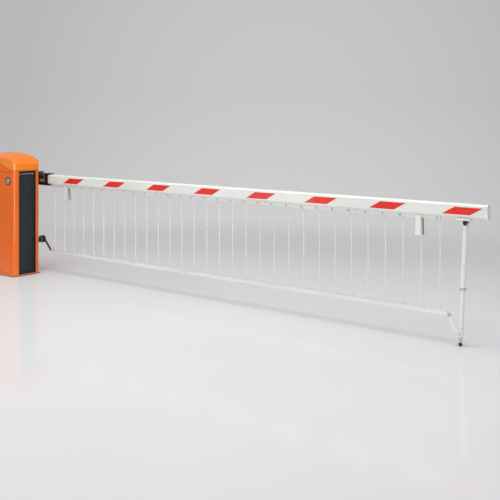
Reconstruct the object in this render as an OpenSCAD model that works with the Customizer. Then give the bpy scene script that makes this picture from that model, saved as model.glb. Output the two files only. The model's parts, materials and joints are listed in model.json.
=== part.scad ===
// Parking barrier gate with a folding skirt under the boom and a hanging support post at its tip.
// Millimetres. The origin is the centre of the housing's base, on the ground. +X runs along the
// closed boom, -Y is the side with the service door and +Z is up. The boom is drawn closed.

/* [Housing] */
// Width of the housing, along the boom
house_w = 420; // [400:10:440]
// Depth of the housing, across the boom
house_d = 280; // [278:1:284]
// Radius of the housing's upright corners
corner_r = 40; // [34:1:42]
// Thickness of the housing's sheet
sheet_t = 3; // [2.5:0.5:3]
// Height of the hood's lower edge at the boom's end
lip_z = 930; // [926:1:934]
// Rise of the hood's lower edge from the boom's end to the other
lip_rise = 58; // [50:1:60]
// Height of the top of the hood
hood_top_z = 1085; // [1080:1:1095]
// Depth of the dark recess in each end face
recess_depth = 24; // [18:1:28]
// Width of the dark recess in each end face
recess_w = 180; // [160:2:184]

/* [Drive] */
// Distance of the drive shaft from the housing's middle, along the boom
shaft_x = 80; // [78:1:82]
// Height of the drive shaft
shaft_z = 868; // [866:1:870]
// Diameter of the drive shaft
shaft_d = 40; // [36:2:40]
// Length of the shaft's lever and of the motor's crank
lever_len = 60; // [56:1:62]

/* [Boom] */
// Height of the boom's section
boom_h = 90; // [88:1:92]
// Thickness of the boom's section
boom_t = 50; // [48:1:50]
// Width of the bevel on each long edge
boom_bevel = 12.5; // [10:0.5:13]
// Height of the boom's centre line
boom_z = 835; // [834:1:836]
// Centre plane of the boom
boom_y = 236; // [235:1:237]
// Where the boom starts, from the housing's middle
boom_x0 = 225; // [223:1:227]
// Where the boom ends, from the housing's middle
boom_x1 = 4388; // [4384:1:4392]
// Distance from stripe to stripe
stripe_pitch = 521; // [518:1:523]

/* [Skirt] */
// Number of hanging rods
rod_count = 30; // [30:1:30]
// Distance from rod to rod
rod_pitch = 130; // [129:0.5:130.5]
// Diameter of a rod
rod_d = 8; // [7:0.5:8]
// Height from a rod's lower pivot to its upper pivot
rod_drop = 580; // [578:1:582]
// Sideways step of a rod below its upper pivot
step_top = 20; // [18:1:22]
// Sideways step of a rod above its lower pivot
step_bottom = 16; // [14:1:18]
// Height of the rods' upper pivots
pivot_z = 779; // [778:1:780]

/* [Support post] */
// Upper pivot of the post, from the housing's middle
post_x = 4238; // [4236:1:4240]
// Height of the post's upper pivot
post_z = 760; // [759:1:761]
// Lean of the post, bottom towards the housing
post_lean = 2.78; // [2.6:0.02:2.9]
// Outside diameter of the upper tube
post_d = 33; // [32:1:34]
// Outside diameter of the lower tube
lower_d = 28; // [27:1:28]

/* [Hidden] */
$fn = 48;
rod_names = [for (i = [1:rod_count]) str("rod_", i < 10 ? "0" : "", i)];
FIXED_NODES = ["base_frame", "housing_shell", "hood", "lane_panels", "door", "lock_rosette",
    "lock_core", "shaft_bearings", "gearmotor", "control_unit", "pivot_bracket"];
DRIVE_NODES = ["motor_crank", "connecting_rod", "drive_shaft"];
BOOM_NODES = ["boom_bracket", "bracket_bolts", "boom_profile", "boom_end_cap", "boom_stripes",
    "hanger_strip", "rail_catches", "post_mount"];
SKIRT_NODES = ["skirt_rail", "rail_pivot_arm", "rail_link", "link_sleeve"];
POST_NODES = ["post_upper_tube", "post_lower_tube", "foot_rod", "foot_pad"];

orange = [0.90, 0.42, 0.12];
hood_orange = [1.0, 0.52, 0.13];
anthracite = [0.20, 0.22, 0.24];
black = [0.10, 0.10, 0.11];
white = [0.90, 0.90, 0.88];
red = [0.86, 0.16, 0.14];
zinc = [0.66, 0.67, 0.68];
steel = [0.45, 0.46, 0.48];

run_gap = 0.1;      // radial gap of a pin that turns in its bore
open_gap = 0.35;    // radial gap where a closed linkage is opened
hx = house_w / 2;
hy = house_d / 2;

// base and inner frame
plate_t = 8;
foot_inset = 1.5;
anchor_x = 150;
anchor_y = 95;
anchor_d = 14;
cable_hole = [120, 110];
upright = 30;
upright_wall = 3;
upright_x = 166;
bracket_zs = [600, 870];
bracket_h = 30;
drive_plate_z = 560;
drive_window = [[-20, 600], [130, 720]];
drive_plate_back = 116;
drive_plate_t = 6;
drive_plate_y = drive_plate_back - drive_plate_t;
frame_top_z = 905;

// housing
shell_z0 = plate_t;
lip_gap = 3;
fall_near = 104;    // drop of the hood's skin from its top to the boom's end
fall_far = 32;      // drop of the hood's skin from its top to the other end
fall_y = 50;        // drop of the hood's skin from its top to the two long sides
lip_flat_x = -52;   // where the hood's lower edge stops rising
corner_steps = 6;
side_steps = [14, 8];
door_w = 330;
door_z0 = 34;
door_z1 = 912;
door_gap = 3;
hinge_d = 9;
hinge_pin_d = 5;
hinge_x = -door_w / 2 - door_gap / 2;
hinge_y = -hy - hinge_d / 2 - 0.2;
hinge_zs = [125, 790];
hinge_len = 40;
lock_x = 122;
lock_z = 838;
lock_d = 72;
core_d = 52;

// drive
bore_d = shaft_d + 2 * run_gap;
bearing_t = 12;
flange_t = 8;
crank_dx = -130;
crank_dz = -80;
lever_angle = 240;
lever_pin_d = 12;
lever_y = 34;
lever_t = 12;
box_w = 220;
box_z0 = 230;
box_z1 = 500;
gland_len = 18;

// boom
boom_y0 = boom_y - boom_t / 2;
boom_y1 = boom_y + boom_t / 2;
boom_top = boom_z + boom_h / 2;
boom_bottom = boom_z - boom_h / 2;
boom_wall = 3;
cap_t = 16;
cap_proud = 1;
stripe_x0 = 577;
stripe_count = 8;
stripe_w = 186;
stripe_h = 47;
stripe_lean = 85;
stripe_t = 0.6;

// skirt
rod_x0 = 277;       // upper pivot of the first rod
slot_w = 10;
strip_wall = 3;
strip_z0 = 770;
rod_step = step_top + step_bottom;
rail_pivot_z = pivot_z - rod_drop;
rail_w = 20;
rail_z0 = 180;
rail_z1 = 208;
rail_x0 = 246;
rail_x1 = 4118;
rail_floor = 8;
lower_pivot = [shaft_x + rod_step, shaft_z - rod_drop];
lower_pin_d = 20;
pivot_plate = 90;
pivot_plate_t = 8;
pivot_bolt_at = 33;
arm_d = 17;
arm_hub_d = 64;
boss_d = 52;
catch_w = 37;
catch_x = [448, 3906];
catch_gap = 36;
catch_len = 130;
catch_flare = 6;
catch_straight = 88;

// post
sleeve_at = 679;    // from the post's upper pivot to the link's pivot, along the post
sleeve_len = 44;
sleeve_d = 37;
sleeve_bore = lower_d + 4;
sleeve_pin_d = 10;
link_t = 4;
link_pivot = [post_x - sleeve_at * sin(post_lean), post_z - sleeve_at * cos(post_lean)];
link_bolt = [4139, 188];
foot_r = 12;
foot_at = (post_z - foot_r) / cos(post_lean);

// ---------- helpers ----------

// cylinder along Y from y0 to y1, centred on (x, z)
module ycyl(d, x, z, y0, y1) {
    translate([x, y1, z])
        rotate([90, 0, 0])
            cylinder(d = d, h = y1 - y0);
}

// box between two corners
module span(a, b) {
    translate(a)
        cube(b - a);
}

// rounded rectangle centred on the origin
module round_rect(w, d, r) {
    for (sx = [-1, 1])
        for (sy = [-1, 1])
            translate([sx * (w / 2 - r), sy * (d / 2 - r)])
                circle(r, $fn = 64);
    square([w - 2 * r, d], center = true);
    square([w, d - 2 * r], center = true);
}

// hexagon bolt head or nut along Y
module yhex(af, x, z, y0, y1) {
    translate([x, y1, z])
        rotate([90, 0, 0])
            cylinder(d = af / cos(30), h = y1 - y0, $fn = 6);
}

// outline in the XZ plane given a thickness along Y
module xz_plate(y0, y1) {
    translate([0, y1, 0])
        rotate([90, 0, 0])
            linear_extrude(y1 - y0)
                children();
}

// eight-sided boom section, grown by g on every side, drawn in (Z, Y)
module boom_section(g) {
    h = boom_h / 2 + g;
    t = boom_t / 2 + g;
    b = boom_bevel + g * 0.586;
    polygon([[-h + b, -t], [h - b, -t], [h, -t + b], [h, t - b],
        [h - b, t], [-h + b, t], [-h, t - b], [-h, -t + b]]);
}

// extrusion of a (Z, Y) section along the boom
module along_boom(x0, x1) {
    translate([x0, boom_y, boom_z])
        rotate([0, 90, 0])
            linear_extrude(x1 - x0)
                children();
}

// local frame of the post: origin on its upper pivot, +Z up along its own axis
module post_frame() {
    translate([post_x, boom_y, post_z])
        rotate([0, post_lean, 0])
            children();
}

// lower edge of the hood above a point x of the housing
function lip_height(x) =
    let (t = max(0, min(1, (x - lip_flat_x) / (hx - 4 - lip_flat_x))))
    lip_z + lip_rise * (0.5 + 0.5 * cos(180 * t));

// ---------- base and inner frame ----------

// welded steel base plate, two uprights and the plate that carries the drive
module base_frame() {
    hollow = upright - 2 * upright_wall;
    color(steel) {
        difference() {
            span([-hx + foot_inset, -hy + foot_inset, 0], [hx - foot_inset, hy - foot_inset, plate_t]);
            for (sx = [-1, 1])
                for (sy = [-1, 1])
                    translate([sx * anchor_x, sy * anchor_y, -1])
                        cylinder(d = anchor_d, h = plate_t + 2);
            translate([-cable_hole[0] / 2, -70, -1])
                cube([cable_hole[0], cable_hole[1], plate_t + 2]);
        }
        for (sx = [-1, 1])
            translate([sx * upright_x - upright / 2, 40, plate_t])
                difference() {
                    cube([upright, upright, frame_top_z - plate_t]);
                    translate(upright_wall * [1, 1, 1])
                        cube([hollow, hollow, frame_top_z - plate_t]);
                }
        for (sx = [-1, 1])
            for (z = bracket_zs)
                span([sx * upright_x - 12, 70, z], [sx * upright_x + 12, drive_plate_y, z + bracket_h]);
        difference() {
            span([-upright_x - upright / 2, drive_plate_y, drive_plate_z],
                [upright_x + upright / 2, drive_plate_back, frame_top_z]);
            ycyl(shaft_d + 14, shaft_x, shaft_z, drive_plate_y - 1, drive_plate_back + 1);
            ycyl(60, shaft_x + crank_dx, shaft_z + crank_dz, drive_plate_y - 1, drive_plate_back + 1);
            span([drive_window[0][0], drive_plate_y - 1, drive_window[0][1]],
                [drive_window[1][0], drive_plate_back + 1, drive_window[1][1]]);
        }
    }
}

// ---------- housing ----------

module shell_outline(inset) {
    round_rect(house_w - 2 * inset, house_d - 2 * inset, corner_r - inset);
}

// everything below the hood's lower edge
module below_lip(gap) {
    steps = 24;
    xz_plate(-hy - 5, hy + 5)
        polygon(concat([[hx + 5, 0], [-hx - 5, 0]],
            [for (i = [0:steps])
                let (x = -hx - 5 + i * (house_w + 10) / steps)
                [x, lip_height(x) - gap]]));
}

// fixed half of a door hinge: two barrels, their leaf and the pin
module hinge_fixed(z) {
    for (z0 = [z - 14, z + hinge_len + 0.5])
        translate([hinge_x, hinge_y, z0])
            cylinder(d = hinge_d, h = 13.5);
    translate([hinge_x, hinge_y, z - 14])
        cylinder(d = hinge_pin_d, h = hinge_len + 28);
    for (z0 = [z - 14, z + hinge_len + 0.5])
        span([hinge_x - 20, hinge_y, z0], [hinge_x, -hy, z0 + 13.5]);
}

// folded sheet body with the door opening, the end recesses and the holes of the drive side
module housing_shell() {
    color(orange) {
        for (z = hinge_zs)
            hinge_fixed(z);
        for (x = [-120, 120])
            for (y = [-hy + sheet_t, hy - 2 * sheet_t])
                span([x - 20, y, door_z1 + door_gap + 2], [x + 20, y + sheet_t, 985]);
        difference() {
            intersection() {
                translate([0, 0, shell_z0])
                    linear_extrude(lip_z + lip_rise - shell_z0)
                        difference() {
                            shell_outline(0);
                            shell_outline(sheet_t);
                        }
                below_lip(lip_gap);
            }
            span([-door_w / 2 - door_gap, -hy - 1, door_z0 - door_gap],
                [door_w / 2 + door_gap, -hy + sheet_t + 1, door_z1 + door_gap]);
            for (sx = [-1, 1])
                translate([sx * hx, 0, (lip_z + shell_z0) / 2])
                    cube([4 * sheet_t, recess_w, lip_z - shell_z0 - 2 * sheet_t - 10], center = true);
            ycyl(shaft_d + 10, shaft_x, shaft_z, hy - sheet_t - 1, hy + 1);
        }
    }
}

// dark trays set into the two end faces, each with its top bar and two screws
module lane_panels() {
    z0 = shell_z0 + 9;
    z1 = lip_z - 9;
    back = hx - recess_depth;
    half = recess_w / 2;
    color(anthracite)
        for (sx = [0, 1])
            mirror([sx, 0, 0]) {
                difference() {
                    span([back - 3, -half + 0.5, z0], [hx - 0.5, half - 0.5, z1]);
                    span([back, -half + 3, z0 + 3], [hx, half - 3, z1 - 3]);
                }
                span([back, -half + 3, z1 - 30], [back + 4, half - 3, z1 - 18]);
                for (y = [-70, 70])
                    translate([back + 4, y, z1 - 24])
                        rotate([0, 90, 0])
                            cylinder(d = 8, h = 3);
            }
}

// blend of two arches: height of the hood's skin above the point (x, y)
function hood_fall(t) = 0.86 * pow(abs(t), 2) + 0.14 * pow(abs(t), 16);
function hood_height(x, y) = hood_top_z
    - pow(pow((x > 0 ? fall_near : fall_far) * hood_fall(x / hx), 3)
        + pow(fall_y * hood_fall(y / hy), 3), 1 / 3);

// points of one rounded corner, and the points between two corners
function corner_points(sx, sy, a0, inset) =
    [for (k = [0:corner_steps])
        let (a = a0 + 90 * k / corner_steps)
        [sx * (hx - corner_r) + (corner_r - inset) * cos(a),
            sy * (hy - corner_r) + (corner_r - inset) * sin(a)]];
function between(p, q, n) = [for (k = [1:n - 1]) p + (q - p) * k / n];

// points round the housing's outline, shrunk by inset
function outline(inset) =
    let (c = [corner_points(1, 1, 0, inset), corner_points(-1, 1, 90, inset),
            corner_points(-1, -1, 180, inset), corner_points(1, -1, 270, inset)])
    [for (q = [0:3])
        each concat(c[q], between(c[q][corner_steps], c[(q + 1) % 4][0], side_steps[q % 2]))];

// domed cover: an outer and an inner skin joined along the lower edge
module hood() {
    rim = outline(0);
    inner_rim = outline(sheet_t);
    n = len(rim);
    levels = 12;
    scales = [for (k = [0:levels]) 1 - pow(k / levels, 1.6) * 0.98];
    outer = [for (p = rim) [p[0], p[1], lip_height(p[0])]];
    outer_dome = [for (s = scales) for (p = s * rim) [p[0], p[1], hood_height(p[0], p[1])]];
    inner_dome = [for (s = scales) for (p = s * inner_rim)
        [p[0], p[1], hood_height(p[0], p[1]) - sheet_t]];
    inner = [for (p = inner_rim) [p[0], p[1], lip_height(p[0])]];
    points = concat(outer, outer_dome, inner_dome, inner);
    rows = levels + 1;
    out_last = rows * n;
    in_first = out_last + n;
    in_last = in_first + (rows - 1) * n;
    lip_row = in_last + n;
    function quad(a, b, i) = [a + i, a + (i + 1) % n, b + (i + 1) % n, b + i];
    outer_rows = [for (r = [0:rows - 1]) for (i = [0:n - 1]) quad((r + 1) * n, r * n, i)];
    inner_rows = [for (r = [0:rows - 2]) for (i = [0:n - 1])
        quad(in_first + r * n, in_first + (r + 1) * n, i)];
    skirt_row = [for (i = [0:n - 1]) quad(lip_row, in_first, i)];
    lip_faces = [for (i = [0:n - 1]) quad(0, lip_row, i)];
    top = [[for (i = [0:n - 1]) out_last + n - 1 - i]];
    under_top = [[for (i = [0:n - 1]) in_last + i]];
    color(hood_orange)
        polyhedron(points, concat(outer_rows, inner_rows, skirt_row, lip_faces, top, under_top));
}

// service door with its folded rim, hinge knuckles and two small screws
module door() {
    color(orange) {
        difference() {
            union() {
                span([-door_w / 2, -hy, door_z0], [door_w / 2, -hy + sheet_t, door_z1]);
                difference() {
                    span([-door_w / 2 + 14, -hy + sheet_t, door_z0 + 6],
                        [door_w / 2 - 6, -hy + 16, door_z1 - 6]);
                    span([-door_w / 2 + 16, -hy + sheet_t - 1, door_z0 + 8],
                        [door_w / 2 - 8, -hy + 17, door_z1 - 8]);
                }
            }
            ycyl(lock_d - 10, lock_x, lock_z, -hy - 1, -hy + sheet_t + 1);
        }
        for (z = hinge_zs)
            difference() {
                union() {
                    translate([hinge_x, hinge_y, z])
                        cylinder(d = hinge_d, h = hinge_len);
                    span([hinge_x, hinge_y, z], [hinge_x + 20, -hy, z + hinge_len]);
                }
                translate([hinge_x, hinge_y, z - 1])
                    cylinder(d = hinge_pin_d + 2 * run_gap, h = hinge_len + 2);
            }
        for (z = [283, 310])
            ycyl(7, door_w / 2 - 20, z, -hy - 1.2, -hy);
    }
}

// dark ring round the lock
module lock_rosette() {
    color(black)
        translate([lock_x, -hy, lock_z])
            rotate([90, 0, 0])
                rotate_extrude()
                    polygon([[core_d / 2 + run_gap, -14], [lock_d / 2 - 6, -14], [lock_d / 2 - 6, 0],
                        [lock_d / 2, 0], [lock_d / 2, 2], [lock_d / 2 - 3, 4], [core_d / 2 + run_gap, 4]]);
}

// turning lock disc with its key slot and the latch tongue behind it
module lock_core() {
    color(zinc)
        difference() {
            union() {
                ycyl(core_d, lock_x, lock_z, -hy - 3, -hy + 12);
                ycyl(16, lock_x, lock_z, -hy + 12, -hy + 22);
                span([lock_x - 9, -hy + 18, lock_z - 9], [lock_x + 40, -hy + 22, lock_z + 9]);
            }
            span([lock_x - 2, -hy - 4, lock_z - 9], [lock_x + 2, -hy + 4, lock_z + 9]);
        }
}

// ---------- drive ----------

// flanged bearing standing on the face y, towards dir
module flange_bearing(y, dir) {
    y_flange = dir > 0 ? y : y - flange_t;
    y_hub = dir > 0 ? y : y - bearing_t;
    difference() {
        union() {
            hull()
                for (dx = [-36, 36])
                    ycyl(26, shaft_x + dx, shaft_z, y_flange, y_flange + flange_t);
            ycyl(62, shaft_x, shaft_z, y_hub, y_hub + bearing_t);
        }
        ycyl(bore_d, shaft_x, shaft_z, y_hub - 1, y_hub + bearing_t + 1);
        for (dx = [-38, 38])
            ycyl(9, shaft_x + dx, shaft_z, y_flange - 1, y_flange + flange_t + 1);
    }
}

// bearings of the drive shaft: one on the outside wall and one on the drive plate
module shaft_bearings() {
    color(black) {
        flange_bearing(hy, 1);
        flange_bearing(drive_plate_y, -1);
    }
}

// geared motor on the drive plate
module gearmotor() {
    gx = shaft_x + crank_dx;
    gz = shaft_z + crank_dz;
    color(steel) {
        difference() {
            union() {
                span([gx - 62, 84, gz - 45], [gx + 50, drive_plate_y, gz + 45]);
                ycyl(56, gx, gz, drive_plate_y - 36, drive_plate_y);
            }
            ycyl(24 + 2 * run_gap, gx, gz, 60, drive_plate_y - 4);
        }
        translate([gx - 30, 97, gz - 45 - 120])
            cylinder(d = 25, h = 120);
        translate([gx - 30, 92, gz - 45 - 150])
            intersection() {
                cylinder(d = 76, h = 130);
                translate([-40, -40, 0])
                    cube([80, 57, 130]);
            }
    }
}

// crank on the gearmotor's output, parallel to the shaft's lever
module motor_crank() {
    gx = shaft_x + crank_dx;
    gz = shaft_z + crank_dz;
    px = gx + lever_len * cos(lever_angle);
    pz = gz + lever_len * sin(lever_angle);
    color(zinc) {
        ycyl(24, gx, gz, lever_y, drive_plate_y - 5);
        hull() {
            ycyl(36, gx, gz, lever_y, lever_y + lever_t);
            ycyl(26, px, pz, lever_y, lever_y + lever_t);
        }
        ycyl(lever_pin_d, px, pz, lever_y - 18, lever_y);
    }
}

// connecting rod from the crank's pin to the lever's pin
module connecting_rod() {
    vx = lever_len * cos(lever_angle);
    vz = lever_len * sin(lever_angle);
    ends = [[shaft_x + crank_dx + vx, shaft_z + crank_dz + vz], [shaft_x + vx, shaft_z + vz]];
    gaps = [run_gap, open_gap];
    color(zinc)
        difference() {
            union() {
                for (e = ends)
                    ycyl(28, e[0], e[1], lever_y - 15, lever_y - 3);
                xz_plate(lever_y - 13, lever_y - 5)
                    polygon([ends[0] + [4, -7], ends[1] + [4, -7], ends[1] + [-4, 7], ends[0] + [-4, 7]]);
            }
            for (k = [0, 1])
                ycyl(lever_pin_d + 2 * gaps[k], ends[k][0], ends[k][1], lever_y - 16, lever_y);
        }
}

// drive shaft with the lever keyed on its inner end
module drive_shaft() {
    px = shaft_x + lever_len * cos(lever_angle);
    pz = shaft_z + lever_len * sin(lever_angle);
    color(steel) {
        ycyl(shaft_d, shaft_x, shaft_z, lever_y - 6, boom_y - 20);
        hull() {
            ycyl(58, shaft_x, shaft_z, lever_y, lever_y + lever_t);
            ycyl(26, px, pz, lever_y, lever_y + lever_t);
        }
        ycyl(lever_pin_d, px, pz, lever_y - 18, lever_y);
    }
}

// sealed control box on the inner frame, with its cover screws and cable glands
module control_unit() {
    color(anthracite) {
        difference() {
            span([-box_w / 2, -30, box_z0], [box_w / 2, 40, box_z1]);
            span([-box_w / 2 + 4, -26, box_z0 + 4], [box_w / 2 - 4, 36, box_z1 - 4]);
        }
        span([-box_w / 2 - 4, -36, box_z0 - 4], [box_w / 2 + 4, -30, box_z1 + 4]);
        span([-upright_x, 36, 300], [upright_x, 40, 430]);
        for (x = [-60, -20, 20, 60])
            translate([x, 5, box_z0 - gland_len])
                cylinder(d = 20, h = gland_len);
    }
    color(zinc)
        for (x = [-104, 104])
            for (z = [box_z0 + 6, box_z1 - 6])
                ycyl(8, x, z, -39, -36);
}

// ---------- boom ----------

// forked bracket: hub on the shaft, block, end plate, two jaws and the tongue inside the boom
module boom_bracket() {
    jaw_x1 = boom_x0 + 24;
    color(black)
        difference() {
            union() {
                ycyl(70, shaft_x, shaft_z, 172, boom_y1);
                span([shaft_x - 30, boom_y0 + 2, 802], [176, boom_y1 - 2, 888]);
                span([88, boom_y0 - 6, 784], [98, boom_y1 + 6, 900]);
                span([98, boom_y0 + 4, boom_top], [jaw_x1, boom_y1 - 4, boom_top + 9]);
                span([98, boom_y0 + 4, boom_bottom - 9], [jaw_x1, boom_y1 - 4, boom_bottom]);
                span([98, boom_y - 6, boom_bottom], [boom_x0 - 4, boom_y + 6, boom_top]);
                span([170, boom_y - 14, boom_z - 28], [boom_x0 + 110, boom_y + 14, boom_z + 28]);
            }
            ycyl(shaft_d, shaft_x, shaft_z, 160, boom_y - 20);
            for (x = [120, 156])
                ycyl(12.5, x, boom_z - 12, boom_y0, boom_y1);
        }
}

// bolts that clamp the bracket, with their nuts, and the two jaw bolts
module bracket_bolts() {
    color(zinc) {
        for (x = [120, 156]) {
            ycyl(12, x, boom_z - 12, boom_y0 + 2, boom_y1 - 2);
            yhex(19, x, boom_z - 12, boom_y0 - 6, boom_y0 + 2);
            yhex(19, x, boom_z - 12, boom_y1 - 2, boom_y1 + 8);
        }
        for (z = [boom_top + 9, boom_bottom - 16])
            translate([boom_x0 - 14, boom_y, z])
                cylinder(d = 19 / cos(30), h = 7, $fn = 6);
    }
}

// hollow eight-sided boom
module boom_profile() {
    color(white)
        along_boom(boom_x0, boom_x1 - cap_t)
            difference() {
                boom_section(0);
                boom_section(-boom_wall);
            }
}

// end cap with its plug inside the boom
module boom_end_cap() {
    color(white) {
        along_boom(boom_x1 - cap_t, boom_x1)
            boom_section(cap_proud);
        along_boom(boom_x1 - cap_t - 30, boom_x1 - cap_t)
            difference() {
                boom_section(-boom_wall - 0.2);
                boom_section(-boom_wall - 3);
            }
    }
}

// leaning red stripes on the two faces of the boom
module boom_stripes() {
    color(red)
        for (i = [0:stripe_count - 1])
            for (y = [boom_y0 - stripe_t, boom_y1])
                translate([stripe_x0 + i * stripe_pitch, 0, boom_z])
                    xz_plate(y, y + stripe_t)
                        polygon([[-(stripe_w + stripe_lean) / 2, -stripe_h / 2],
                            [(stripe_w - stripe_lean) / 2, -stripe_h / 2],
                            [(stripe_w + stripe_lean) / 2, stripe_h / 2],
                            [-(stripe_w - stripe_lean) / 2, stripe_h / 2]]);
}

// inverted channel under the boom that carries the rods' upper pivots
module hanger_strip() {
    y0 = boom_y - slot_w / 2 - strip_wall;
    y1 = boom_y + slot_w / 2 + strip_wall;
    color(white)
        difference() {
            span([262, y0, strip_z0], [4070, y1, boom_bottom]);
            span([261, boom_y - slot_w / 2, strip_z0 - 1], [4071, boom_y + slot_w / 2, boom_bottom - 3]);
            for (i = [0:rod_count - 1])
                ycyl(rod_d + 2 * run_gap, rod_x0 + i * rod_pitch, pivot_z, y0 - 1, y1 + 1);
        }
}

// two forks under the boom: the first takes the folded rail, the second the folded post
module rail_catches() {
    half = catch_gap / 2;
    root = slot_w / 2 + strip_wall + 0.2;
    out = half + sheet_t;
    prong = [[root, 0], [out, 0], [out, -catch_straight], [out + catch_flare, -catch_len],
        [half + catch_flare, -catch_len], [half, -catch_straight], [half, -sheet_t], [root, -sheet_t]];
    color(white)
        for (x = catch_x)
            for (s = [0, 1])
                translate([x + catch_w, boom_y, boom_bottom])
                    mirror([0, s, 0])
                        rotate([90, 0, -90])
                            linear_extrude(catch_w)
                                polygon(prong);
}

// ---------- skirt ----------

// one hanging rod: both ends turned across the boom as hooks, with a step next to each
module skirt_rod(i) {
    top = [rod_x0 + i * rod_pitch, pivot_z];
    bends = [top, top + [step_top, -27], top + [step_top, 40 - rod_drop], top + [rod_step, -rod_drop]];
    hook = slot_w / 2 + strip_wall;
    rail_hook = rail_w / 2;
    color(white) {
        for (k = [0:2]) {
            a = bends[k];
            b = bends[k + 1];
            translate([a[0], boom_y, a[1]])
                rotate([0, atan2(b[0] - a[0], b[1] - a[1]), 0])
                    cylinder(d = rod_d, h = norm(b - a));
        }
        for (p = bends)
            translate([p[0], boom_y, p[1]])
                sphere(d = rod_d + 0.6);
        ycyl(rod_d, bends[0][0], bends[0][1], boom_y - hook - 1, boom_y + hook + 1);
        ycyl(rod_d, bends[3][0], bends[3][1], boom_y - rail_hook, boom_y + rail_hook);
    }
}

// lower rail: a channel open upwards, with a groove along each face
module skirt_rail() {
    y0 = boom_y - rail_w / 2;
    y1 = boom_y + rail_w / 2;
    color(white)
        difference() {
            span([rail_x0, y0, rail_z0], [rail_x1, y1, rail_z1]);
            span([rail_x0 - 1, boom_y - slot_w / 2, rail_z0 + rail_floor],
                [rail_x1 + 1, boom_y + slot_w / 2, rail_z1 + 1]);
            for (y = [y0 - 1, y1 - 1.5])
                span([rail_x0 - 1, y, rail_pivot_z - 7], [rail_x1 + 1, y + 2.5, rail_pivot_z + 5]);
            for (i = [0:rod_count - 1])
                ycyl(rod_d + 2 * open_gap, rod_x0 + rod_step + i * rod_pitch, rail_pivot_z, y0 - 1, y1 + 1);
        }
}

// bent arm that ties the rail's near end to the lower pivot on the housing
module rail_pivot_arm() {
    from = lower_pivot + [20, 13];
    to = [rail_x0 - 11, 200];
    color(black)
        difference() {
            union() {
                ycyl(arm_hub_d, lower_pivot[0], lower_pivot[1], boom_y - 14, boom_y + 14);
                translate([from[0], boom_y, from[1]])
                    rotate([0, atan2(to[0] - from[0], to[1] - from[1]), 0])
                        cylinder(d = arm_d, h = norm(to - from));
                translate([to[0], boom_y, to[1]])
                    sphere(d = arm_d + 3);
                span([rail_x0 - 14, boom_y - 4.8, rail_z0 + 10], [rail_x0 + 44, boom_y + 4.8, rail_z1 - 2]);
            }
            ycyl(lower_pin_d + 2 * run_gap, lower_pivot[0], lower_pivot[1], boom_y - 15, boom_y + 15);
        }
}

// bracket on the housing's drive side with the pin that the arm turns on
module pivot_bracket() {
    x = lower_pivot[0];
    z = lower_pivot[1];
    color(black) {
        difference() {
            span([x - pivot_plate / 2, hy, z - pivot_plate / 2],
                [x + pivot_plate / 2, hy + pivot_plate_t, z + pivot_plate / 2]);
            for (sx = [-1, 1])
                for (sz = [-1, 1])
                    ycyl(9, x + sx * pivot_bolt_at, z + sz * pivot_bolt_at, hy - 1, hy + pivot_plate_t + 1);
        }
        ycyl(boss_d, x, z, hy + pivot_plate_t, boom_y - 26);
    }
    color(zinc) {
        yhex(46, x, z, boom_y - 26, boom_y - 15);
        ycyl(lower_pin_d, x, z, boom_y - 15, boom_y + 15);
        ycyl(34, x, z, boom_y + 15, boom_y + 21);
    }
}

// plate on the rail's far end and the link that reaches down to the post's sleeve, on the door's side
module rail_link() {
    knee = [4172, 104];
    bar_in = rail_w / 2;
    bar_out = bar_in + link_t;
    link_in = sleeve_d / 2 + 1;
    link_out = link_in + link_t;
    color(zinc)
        translate([0, boom_y, 0])
            mirror([0, 1, 0]) {
                span([rail_x1 - 26, bar_in, link_bolt[1] - 7], [4168, bar_out, link_bolt[1] + 7]);
                ycyl(14, link_bolt[0], link_bolt[1], bar_out, link_in);
                difference() {
                    xz_plate(link_in, link_out)
                        union() {
                            translate(link_bolt)
                                circle(d = 20);
                            translate(link_pivot)
                                circle(d = 22);
                            polygon([link_bolt + [-9, -4], knee + [-10, -6], link_pivot + [-5, -9.8],
                                link_pivot + [3, 10.5], knee + [9, 5], link_bolt + [9.5, 3]]);
                        }
                    ycyl(sleeve_pin_d + 2 * run_gap, link_pivot[0], link_pivot[1],
                        link_in - 1, link_out + 1);
                }
                yhex(17, link_bolt[0], link_bolt[1], link_out, link_out + 6);
                yhex(13, rail_x1 - 10, link_bolt[1], bar_out, bar_out + 5);
            }
}

// sleeve that slides on the post's lower tube and turns in the link
module link_sleeve() {
    color(white)
        post_frame()
            translate([0, 0, -sleeve_at])
                difference() {
                    union() {
                        cylinder(d = sleeve_d, h = sleeve_len, center = true);
                        translate([0, -sleeve_d / 2 - 2, 0])
                            rotate([90, 0, 0])
                                cylinder(d = sleeve_pin_d, h = 11, center = true);
                    }
                    cylinder(d = sleeve_bore, h = sleeve_len + 40, center = true);
                }
}

// ---------- support post ----------

// clamp plate under the boom with the two ears and the pin of the post
module post_mount() {
    color(white)
        span([post_x - 55, boom_y0 + 3, boom_bottom - 14], [post_x + 35, boom_y1 - 3, boom_bottom]);
    color(black) {
        for (s = [-1, 1])
            translate([0, boom_y + s * 13, 0]) {
                ycyl(26, post_x, post_z, -2.5, 2.5);
                span([post_x - 13, -2.5, post_z], [post_x + 13, 2.5, boom_bottom - 14]);
            }
        ycyl(12, post_x, post_z, boom_y - 15.5, boom_y + 15.5);
        yhex(17, post_x, post_z, boom_y - 21, boom_y - 15.5);
        yhex(17, post_x, post_z, boom_y + 15.5, boom_y + 21);
    }
}

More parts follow.
